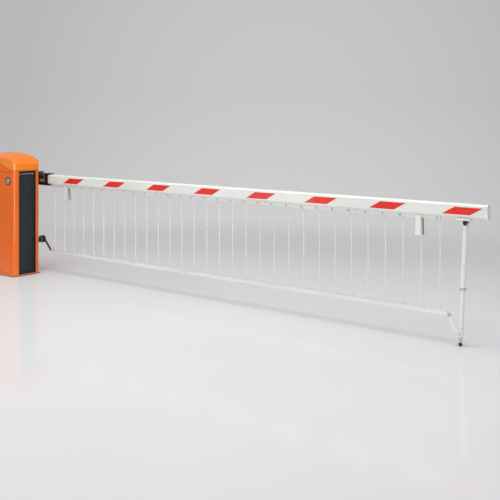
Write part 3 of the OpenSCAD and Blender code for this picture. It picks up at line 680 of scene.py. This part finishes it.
# ---------------------------------------------------------------- drive side
bolts = [hex_head(SHAFT + Vector((dx, y, 0)), out, 13, 5.5)
    for y, out in ((HY + 8, ACROSS), (102, BACK)) for dx in (-38, 38)]
group("bearing_bolts", bolts, "zinc_steel", "housing")
seal = washer_ring(SHAFT + Vector((0, HY + 12, 0)), ACROSS, 20.6, 27, 2.4)
make("shaft_seal_ring", *seal, "black_rubber", "housing")
bolts = [hex_head(PIVOT + Vector((dx, HY + 8, dz)), ACROSS, 13, 5.5) for dx in (-33, 33) for dz in (-33, 33)]
group("pivot_bracket_bolts", bolts, "zinc_steel", "housing")
cap = [(0, 0), (17, 0), (17, 2.2), (15.4, 4.2), (11, 5.6), (5, 6.2), (0, 6.3)]
make("pivot_cap", *turned(cap, PIVOT + Vector((0, BOOM_Y + 21, 0)), ACROSS, 40), "black_plastic", "housing")
bushing = washer_ring(PIVOT + Vector((0, BOOM_Y - 15.0, 0)), ACROSS, 10.6, 22, 0.9)
make("pivot_bushing", *bushing, "black_plastic", "housing")

# gear motor: cooling fins, cut off before the drive plate, and the terminal box
MOTOR_X, MOTOR_Y, FIN_LIMIT_Y = -80, 92, 108.5
fin = ((38.0, -1.0), (38.6, -1.2), (39.4, -0.5), (39.4, 0.5), (38.6, 1.2), (38.0, 1.0))
fins = []
for z in range(610, 700, 8):
    verts, faces = turned([(r, z + dz) for r, dz in fin], (MOTOR_X, MOTOR_Y, 0), UP, 48)
    fins.append((verts, [f for f in faces if all(verts[i].y < FIN_LIMIT_Y for i in f)]))
group("motor_fins", fins, "grey_steel", "housing", angle=50)
make("terminal_box", *rounded_block((-46, 78, 620), (-20, 108, 668), 3), "black_plastic", "housing")

# control unit: window, buttons and cover screws
window = rounded_block((-70, -38.5, 400), (40, -35, 460), 2.0)
make("control_window", *window, "black_plastic", "housing", material=LENS)
button = [(0, 0), (7, 0), (7, 2.5), (6, 3.6), (0, 4.0)]
buttons = [turned(button, (x, -36, 360), BACK, 28) for x in (-60, -30, 0, 30)]
group("control_buttons", buttons, "black_plastic", "housing")
heads = [socket_head((x, -39, z), BACK, 8, 2.4) for x in (-104, 104) for z in (236, 494)]
group("control_cover_screws", heads, "zinc_steel", "housing")

# ---------------------------------------------------------------- boom details
heads = [socket_head((x, BOOM_Y + dy, z), (0, 0, out), 13, 5)
    for z, out in ((889, 1), (781, -1)) for x in (120, 160, 200) for dy in (-12, 12)]
group("jaw_screws", heads, "zinc_steel", "boom")
heads = [socket_head((x, y, BOOM_Z + dz), (0, out, 0), 9, 2.6)
    for x in (250, 310) for dz in (-20, 20) for y, out in BOOM_FACES]
group("bracket_rivets", heads, "zinc_steel", "boom")
plates = [rounded_block((101, 209.6, low), (172, 213.4, high), 1.4)
    for low, high in ((806, 848), (856, 886))]
group("bracket_cover_plates", plates, "grey_steel", "boom")
heads = [socket_head((x, 209.6, z), BACK, 9, 2.6) for x in (112, 160) for z in (862, 880)]
group("bracket_cover_screws", heads, "black_steel", "boom")
cap = [(0, 0), (31, 0), (31, 1.6), (29, 3.4), (20, 4.6), (0, 5.0)]
make("hub_cap", *turned(cap, SHAFT + Vector((0, BOOM_BACK, 0)), ACROSS, 48), "black_plastic", "boom")
set_screw = [(0, 0), (5, 0), (5, 2.0), (4.4, 2.6), (2.6, 2.6, HEX), (2.5, 0.6, HEX), (0, 0.6)]
screws = [turned(set_screw, SHAFT + Vector((dx, 172, dz)), BACK, 30)
    for dx, dz in ((0, 27), (0, -27), (27, 0), (-27, 0))]
group("hub_set_screws", screws, "zinc_steel", "boom")


def leaning_outline(w, h, lean, grown):
    """Corners of a leaning stripe, grown by the same width on all four sides."""
    half_h, half_w = h / 2 + grown, w / 2 + grown * sqrt(1 + (lean / h) ** 2)
    shift = lean / h * half_h
    return [(-half_w - shift, -half_h), (half_w - shift, -half_h),
        (half_w + shift, half_h), (-half_w + shift, half_h)]


def stripe_borders():
    """Pale rims round the red stripes, on both faces of the boom."""
    pitch, first, w, h, lean, rim, t = 521.0, 577.0, 186.0, 47.0, 85.0, 3.4, 0.45
    parts = []
    for i in range(8):
        for y, out in BOOM_FACES:
            rings = [(0.02, 0.0), (0.02, t), (rim, t), (rim + 0.3, 0.0)]
            verts = [(first + i * pitch + x, y + out * d, BOOM_Z + z)
                for grown, d in rings for x, z in leaning_outline(w, h, lean, grown)]
            faces = []
            for row, after in ((0, 4), (4, 8), (8, 12), (12, 0)):
                faces += [(row + k, row + (k + 1) % 4, after + (k + 1) % 4, after + k) for k in range(4)]
            parts.append((verts, faces))
    group("stripe_borders", parts, "red_film", "boom", material=PALE_FILM)


stripe_borders()

# end cap screws
heads = [socket_head((BOOM_END, BOOM_Y, BOOM_Z + dz), (1, 0, 0), 9, 2.6) for dz in (-28, 28)]
group("cap_screws", heads, "zinc_steel", "boom")

# rivets that hold the hanger strip, and bushings on each rod's upper pivot
rivets = [socket_head((ROD_X + ROD_PITCH * (k + 0.5), BOOM_Y + s * 8, 783.5), (0, s, 0), 6, 1.6)
    for k in range(0, ROD_COUNT - 1, 2) for s in (-1, 1)]
group("strip_rivets", rivets, "zinc_steel", "boom")
bushes = [washer_ring((ROD_X + ROD_PITCH * k, BOOM_Y + s * 8, PIVOT_Z), (0, s, 0), 4.15, 6.4, 1.1)
    for k in range(ROD_COUNT) for s in (-1, 1)]
group("strip_bushings", bushes, "black_plastic", "boom", angle=50)

# catches: rivets through their flanges, and black rubber pads on the far prongs, which also stand in for the
# shade in the gap between the prongs
catch_parts, pads = [], []
for x in CATCHES:
    for s in (-1, 1):
        catch_parts += [socket_head((x + dx, BOOM_Y + s * 14.5, 786.6), (0, 0, -1), 7, 2)
            for dx in (9, 28)]
    # painted shade: the black pads darken the far prong's inner face, where the gap between the prongs is in
    # shade
    edge = [(18.1, 784), (18.1, 702), (24.1, 660.5), (22.3, 660.2), (16.4, 702), (16.4, 784)]
    verts = [(x + dx, BOOM_Y + y, z) for dx in (32, 37) for y, z in edge]
    faces = [(k, (k + 1) % 6, 6 + (k + 1) % 6, 6 + k) for k in range(6)]
    pads.append((verts, faces + [(0, 1, 4, 5), (1, 2, 3, 4), (11, 10, 7, 6), (10, 9, 8, 7)]))
group("catch_rivets", catch_parts, "zinc_steel", "boom")
group("catch_pads_and_gap_shade", pads, "black_rubber", "boom")

# support post's mount: screws through the clamp plate
heads = [socket_head((POST_X + dx, BOOM_Y + s * 12, 776), (0, 0, -1), 9, 3.5)
    for dx in (-44, -30, 24) for s in (-1, 1)]
group("post_mount_screws", heads, "zinc_steel", "boom")

# ---------------------------------------------------------------- hanging rods


def hanging_rod(index):
    """One bent rod with its two cross pins, drawn at its own place."""
    x = ROD_X + index * ROD_PITCH
    low = RAIL_Z
    path = filleted([(x, BOOM_Y, PIVOT_Z + 1), (x + STEP_TOP, BOOM_Y, PIVOT_Z - 27),
        (x + STEP_TOP, BOOM_Y, low + 40), (x + STEP_TOP + STEP_BOTTOM, BOOM_Y, low - 1)], 24, 5)
    parts = [tube(path, 4.0, 12)]
    for px, pz, reach in ((x, PIVOT_Z, 10.6), (x + STEP_TOP + STEP_BOTTOM, low, 9.6)):
        parts.append(tube([Vector((px, BOOM_Y - reach, pz)), Vector((px, BOOM_Y + reach, pz))], 3.9, 16))
    name = "%02d" % (index + 1)
    group("hanging_rod_" + name, parts, "white_aluminium", "hanger_" + name, angle=50,
        replaces=("rod_" + name,))


for rod in range(ROD_COUNT):
    hanging_rod(rod)

# ---------------------------------------------------------------- rail and link
heads = [socket_head((RAIL_START + dx, BOOM_Y + s * 8.5, RAIL_Z - 1), (0, s, 0), 8, 2.6)
    for dx in (14, 34) for s in (-1, 1)]
group("rail_end_screws", heads, "zinc_steel", "rail")
clip = washer_ring(LINK_PIVOT + Vector((0, -23.6, 0)), BACK, 5.15, 9.0, 1.4)
make("link_pin_clip", *clip, "zinc_steel", "rail")
washer = washer_ring(LINK_BOLT + Vector((0, -23.5, 0)), BACK, 8.0, 12.0, 1.4)
make("link_bolt_washer", *washer, "zinc_steel", "rail")

# ---------------------------------------------------------------- support post


def along(distance):
    return POST_TOP + DOWN * distance


screw = socket_head(along(407) + Vector((0, -18.6, 0)), BACK, 8, 3.4)
make("collar_screw", *screw, "zinc_steel", "post")
make("collar_rim", *washer_ring(along(414), DOWN, 14.6, 18.6, 1.6), "zinc_steel", "post")
make("collar_top_rim", *washer_ring(along(399.6), -DOWN, 16.6, 19.0, 1.6), "zinc_steel", "post")
rims = [washer_ring(LINK_PIVOT - DOWN * (s * 21.0), -DOWN * s, 16.1, 19.2, 1.6) for s in (-1, 1)]
group("sleeve_rims", rims, "white_plastic", "sleeve")
plug = [(0, 0), (12.6, 0), (13.4, 0.8), (13.4, 2.2), (12.4, 3.2), (8.4, 3.6), (0, 3.6)]
make("tube_plug", *turned(plug, along(705.5), DOWN, 40), "white_plastic", "post_foot")


def threaded_rod(top, length, r, pitch, depth):
    """Rod with a real screw thread, its axis along the post."""
    x, y, _ = basis(DOWN)
    sides, per_turn = 28, 6
    rows = int(length / pitch * per_turn)
    verts = []
    for i in range(rows + 1):
        d = length * i / rows
        fade = min(1, d / 2.5, (length - d) / 2.5)
        for k in range(sides):
            a = 2 * pi * k / sides
            wave = abs(((d / pitch - k / sides) % 1) - 0.5) * 2
            radius = r - depth * wave * max(0, fade)
            verts.append(along(top + d) + x * (radius * cos(a)) + y * (radius * sin(a)))
    faces = quads(rows + 1, sides)
    faces += [tuple(range(sides)), tuple(rows * sides + k for k in range(sides))]
    return verts, faces


FOOT_R = 12
foot_at = (POST_Z - FOOT_R) / cos(LEAN)
rod_parts = [threaded_rod(660, foot_at - 660 - 8, 7.9, 2.5, 1.1),
    hex_head(along(709), DOWN, 21, 9.0)]
group("foot_screw", rod_parts, "zinc_steel", "post_foot", angle=28, replaces=("foot_rod",))


def rubber_foot():
    """Rubber ball with three fine grooves; the screw and the steel cup cover its top."""
    centre = along(foot_at)
    rings = [(0, 10.0), (7.4, 10.0)]
    steps = 26
    for k in range(2, steps):
        a = pi * k / steps
        groove = 0.5 if k in (12, 15, 18) else 0.0
        rings.append(((FOOT_R - groove) * sin(a), (FOOT_R - groove) * cos(a)))
    rings.append((0, -FOOT_R))
    return turned(rings, centre, UP, 40)


make("rubber_foot", *rubber_foot(), "black_rubber", "post_foot", angle=60, replaces=("foot_pad",))
make("foot_cup", *washer_ring(along(foot_at - 9.5), -DOWN, 7.2, 9.6, 3.0), "zinc_steel", "post_foot")

# ---------------------------------------------------------------- stage, light and camera


def pale_floor():
    """Wide floor that fades into the backdrop's grey far from the object."""
    n = Nodes("pale_studio_floor")
    tree = n.tree
    mesh = bpy.data.meshes.new("studio_floor")
    size, rows = 26.0, 26
    spots = [-size + 2 * size * i / rows for i in range(rows + 1)]
    verts = [(x, y, 0) for y in spots for x in spots]
    wide = rows + 1
    faces = [(j * wide + i, j * wide + i + 1, (j + 1) * wide + i + 1, (j + 1) * wide + i)
        for j in range(rows) for i in range(rows)]
    mesh.from_pydata(verts, [], faces)
    mesh.materials.append(n.material)
    floor = bpy.data.objects.new("studio_floor", mesh)
    scene.collection.objects.link(floor)
    shift = tree.nodes.new("ShaderNodeMapping")
    shift.inputs["Location"].default_value = (-2.6, 0.6, 0)
    n.link(n.place, shift.inputs["Vector"])
    radius = tree.nodes.new("ShaderNodeVectorMath")
    radius.operation = "LENGTH"
    n.link(shift.outputs["Vector"], radius.inputs[0])
    fade = tree.nodes.new("ShaderNodeMapRange")
    fade.interpolation_type = "SMOOTHERSTEP"
    for key, number in zip(("From Min", "From Max", "To Min", "To Max"), (2.7, 6.6, 0.0, 1.0)):
        fade.inputs[key].default_value = number
    n.link(radius.outputs["Value"], fade.inputs["Value"])
    tone = n.ramp(n.noise(0.6, 3.0), [(0.3, (0.76, 0.76, 0.76)), (0.7, (0.79, 0.79, 0.79))])
    n.link(tone, n.shader.inputs["Base Color"])
    n.set(Roughness=0.9, Specular_IOR_Level=0.0)
    gloss = tree.nodes.new("ShaderNodeBsdfGlossy")
    gloss.inputs["Roughness"].default_value = 0.10
    gloss.inputs["Color"].default_value = (0.9, 0.9, 0.9, 1)
    mixed = tree.nodes.new("ShaderNodeMixShader")
    mixed.inputs[0].default_value = 0.13
    clear = tree.nodes.new("ShaderNodeBsdfTransparent")
    out = tree.nodes["Material Output"]
    final = tree.nodes.new("ShaderNodeMixShader")
    n.link(n.shader.outputs[0], mixed.inputs[1])
    n.link(gloss.outputs[0], mixed.inputs[2])
    n.link(fade.outputs["Result"], final.inputs[0])
    n.link(mixed.outputs[0], final.inputs[1])
    n.link(clear.outputs[0], final.inputs[2])
    n.link(final.outputs[0], out.inputs["Surface"])


pale_floor()

world = bpy.data.worlds.new("studio_air")
scene.world = world
world.use_nodes = True
air = world.node_tree
seen = air.nodes["Background"]
seen.inputs["Color"].default_value = (1, 1, 1, 1)
lit = air.nodes.new("ShaderNodeBackground")
lit.inputs["Color"].default_value = (1, 1, 1, 1)
lit.inputs["Strength"].default_value = 0.42
ray = air.nodes.new("ShaderNodeLightPath")
either = air.nodes.new("ShaderNodeMixShader")
air.links.new(ray.outputs["Is Camera Ray"], either.inputs[0])
air.links.new(lit.outputs[0], either.inputs[1])
air.links.new(seen.outputs[0], either.inputs[2])
air.links.new(either.outputs[0], air.nodes["World Output"].inputs["Surface"])


def backdrop_number(value, low, high, a, b):
    node = air.nodes.new("ShaderNodeMapRange")
    for key, number in zip(("From Min", "From Max", "To Min", "To Max"), (a, b, low, high)):
        node.inputs[key].default_value = number
    air.links.new(value, node.inputs["Value"])
    return node.outputs["Result"]


# the backdrop: brighter towards the floor, and brightest in the middle of its width
towards = air.nodes.new("ShaderNodeTexCoord").outputs["Generated"]
split = air.nodes.new("ShaderNodeSeparateXYZ")
air.links.new(towards, split.inputs["Vector"])
middle = air.nodes.new("ShaderNodeVectorMath")
middle.operation = "DOT_PRODUCT"
middle.inputs[1].default_value = (-0.60, 0.80, 0.0)
air.links.new(towards, middle.inputs[0])
glow = air.nodes.new("ShaderNodeMath")
glow.operation = "MULTIPLY"
air.links.new(backdrop_number(split.outputs["Z"], 0.66, 0.575, -0.16, 0.02), glow.inputs[0])
air.links.new(backdrop_number(middle.outputs["Value"], 0.84, 1.0, 0.955, 1.0), glow.inputs[1])
air.links.new(glow.outputs[0], seen.inputs["Strength"])


def softbox(name, place, target, width, depth, watts):
    light = bpy.data.lights.new(name, "AREA")
    light.shape = "RECTANGLE"
    light.size, light.size_y, light.energy = width, depth, watts
    obj = bpy.data.objects.new(name, light)
    obj.location = place
    obj.rotation_euler = (Vector(target) - Vector(place)).to_track_quat("-Z", "Y").to_euler()
    obj.visible_camera = False
    scene.collection.objects.link(obj)
    return obj


softbox("overhead_softbox", (2.6, -1.3, 5.0), (2.3, -0.5, 0.0), 6.5, 3.4, 210)
softbox("front_softbox", (4.2, -8.6, 2.6), (1.8, 0.0, 0.5), 5.0, 2.4, 95)
softbox("corner_softbox", (5.6, -7.6, 1.3), (0.2, -0.14, 0.6), 1.2, 2.2, 45)
softbox("right_softbox", (9.0, -3.0, 2.2), (1.5, 0.2, 0.8), 2.2, 2.0, 22)
strip = softbox("corner_strip", (1.46, -1.88, 0.62), (0.17, -0.10, 0.55), 1.0, 1.2, 16)
strip.visible_diffuse = False  # seen in glossy reflections only
not_lit = bpy.data.collections.new("not_lit_by_the_strip")
not_lit.objects.link(bpy.data.objects["studio_floor"])
strip.light_linking.receiver_collection = not_lit
not_lit.collection_objects[0].light_linking.link_state = "EXCLUDE"

# a level camera, with the downward shift that the photograph's framing needs
camera_data = bpy.data.cameras.new("camera")
camera_data.sensor_width = 36.0
camera_data.lens = 62.18
camera_data.shift_y = -0.274
camera_data.clip_start, camera_data.clip_end = 0.05, 200.0
camera = bpy.data.objects.new("camera", camera_data)
camera.location = (6.5207, -4.7142, 1.434)
camera.rotation_euler = (radians(90), 0, radians(38.79))
scene.collection.objects.link(camera)
scene.camera = camera
